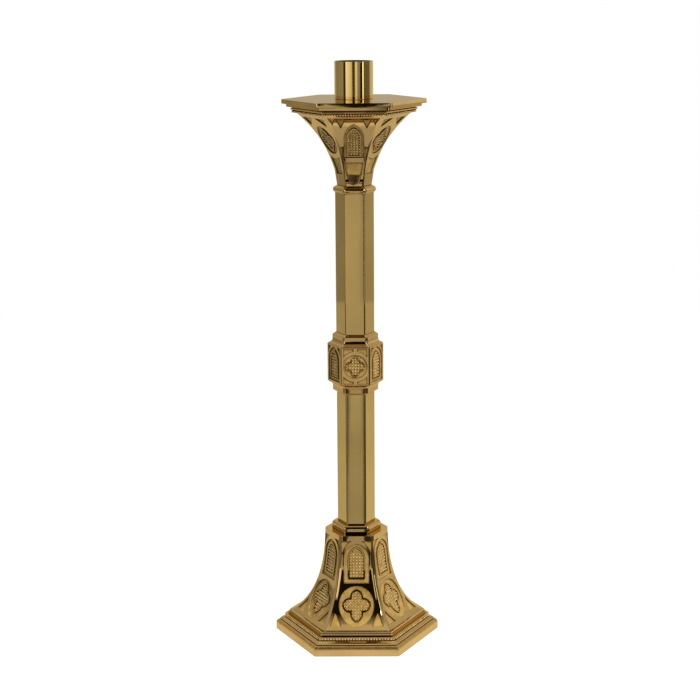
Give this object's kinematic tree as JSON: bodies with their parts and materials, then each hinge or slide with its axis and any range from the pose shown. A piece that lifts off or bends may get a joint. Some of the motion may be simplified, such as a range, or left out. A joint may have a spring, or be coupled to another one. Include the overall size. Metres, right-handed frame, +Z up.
{
  "type": "paschal candlestick",
  "caption": "Tall hexagonal floor candlestick in polished cast brass with a flared base, knop, capital, drip pan and a lift-off round candle socket.",
  "frame": {"origin": "centre of the underside of the plinth, on the floor", "axes": "+Z up along the stem, -Y towards the face shown to the camera, two corners of every hexagon on X"},
  "size_m": [0.3086, 0.2672, 1.0664],
  "materials": {
    "polished_brass": "mirror polished and lacquered, recesses matte",
    "turned_brass": "fine turned",
    "plated_steel": "zinc plated"
  },
  "bodies": {
    "stand": {"base_plinth": "polished_brass", "base_string_course": "polished_brass", "base_bell": "polished_brass", "base_collar": "polished_brass", "base_bridge": "plated_steel", "lower_column": "polished_brass", "knop_lower_ring": "polished_brass", "knop": "polished_brass", "knop_upper_ring": "polished_brass", "upper_column": "polished_brass", "head_collar": "polished_brass", "capital": "polished_brass", "pan_moulding": "polished_brass", "drip_pan": "polished_brass", "socket_seat": "turned_brass", "tie_rod": "plated_steel", "bottom_locknut": "plated_steel", "bottom_nut": "plated_steel", "bottom_washer": "plated_steel", "top_washer": "plated_steel", "top_nut": "plated_steel"},
    "socket": {"candle_socket": "polished_brass"}
  },
  "joints": [
    {"name": "socket_lift", "type": "slide", "parent": "stand", "child": "socket", "axis": [0, 0, 1], "range_m": [0, 0.04]}
  ]
}
